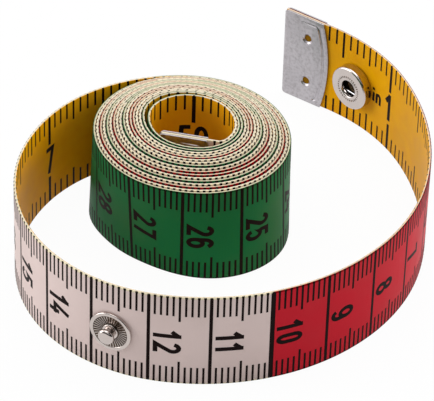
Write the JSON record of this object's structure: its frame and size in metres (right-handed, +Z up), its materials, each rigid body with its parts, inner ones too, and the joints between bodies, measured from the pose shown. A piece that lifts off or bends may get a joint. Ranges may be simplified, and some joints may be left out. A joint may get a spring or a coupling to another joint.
{
  "type": "tape measure",
  "caption": "Soft tailor's tape measure standing on its edge, wound in a coil with a free loop round it, folded end clips and a press stud with its socket.",
  "frame": {"origin": "middle of the whole part's footprint, on the surface that the ribbon's lower edge stands on", "axes": "+Z up along the ribbon's width, +Y from the middle of the free loop back towards its zero end, +X to the right of that"},
  "size_m": [0.0694, 0.082, 0.021],
  "materials": {
    "ribbon": "satin, printed, on woven glass fibre",
    "clip_steel": "pressed, satin",
    "snap_nickel": "nickel plated, bright",
    "spring_steel": "bright wire"
  },
  "bodies": {
    "coil": {"tape_coil": "ribbon", "core_clip": "clip_steel"},
    "span_1": {"tape_span_1": "ribbon"},
    "span_2": {"tape_span_2": "ribbon", "stud_body": "snap_nickel", "stud_rivet": "snap_nickel"},
    "span_3": {"tape_span_3": "ribbon"},
    "span_4": {"tape_span_4": "ribbon"},
    "span_5": {"tape_span_5": "ribbon"},
    "span_6": {"tape_span_6": "ribbon", "end_clip": "clip_steel", "socket_base": "snap_nickel", "socket_shell": "snap_nickel", "socket_spring": "spring_steel", "socket_rivet": "snap_nickel"}
  },
  "joints": [
    {"name": "flex_1", "type": "hinge", "parent": "coil", "child": "span_1", "pos_m": [-0.02994, 0.00593, 0.009], "axis": [0, 0, -1], "range_deg": [-3, 55], "stiffness_Nm_per_rad": 0.0024},
    {"name": "flex_2", "type": "hinge", "parent": "span_1", "child": "span_2", "pos_m": [-0.03203, -0.02291, 0.009], "axis": [0, 0, -1], "range_deg": [-3, 55], "stiffness_Nm_per_rad": 0.0024},
    {"name": "flex_3", "type": "hinge", "parent": "span_2", "child": "span_3", "pos_m": [-0.00932, -0.04043, 0.009], "axis": [0, 0, -1], "range_deg": [-3, 50], "stiffness_Nm_per_rad": 0.0024},
    {"name": "flex_4", "type": "hinge", "parent": "span_3", "child": "span_4", "pos_m": [0.01729, -0.0341, 0.009], "axis": [0, 0, -1], "range_deg": [-3, 42], "stiffness_Nm_per_rad": 0.0024},
    {"name": "flex_5", "type": "hinge", "parent": "span_4", "child": "span_5", "pos_m": [0.03345, -0.00968, 0.009], "axis": [0, 0, -1], "range_deg": [-3, 38], "stiffness_Nm_per_rad": 0.0024},
    {"name": "flex_6", "type": "hinge", "parent": "span_5", "child": "span_6", "pos_m": [0.0308, 0.01977, 0.009], "axis": [0, 0, -1], "range_deg": [-3, 40], "stiffness_Nm_per_rad": 0.0024}
  ]
}
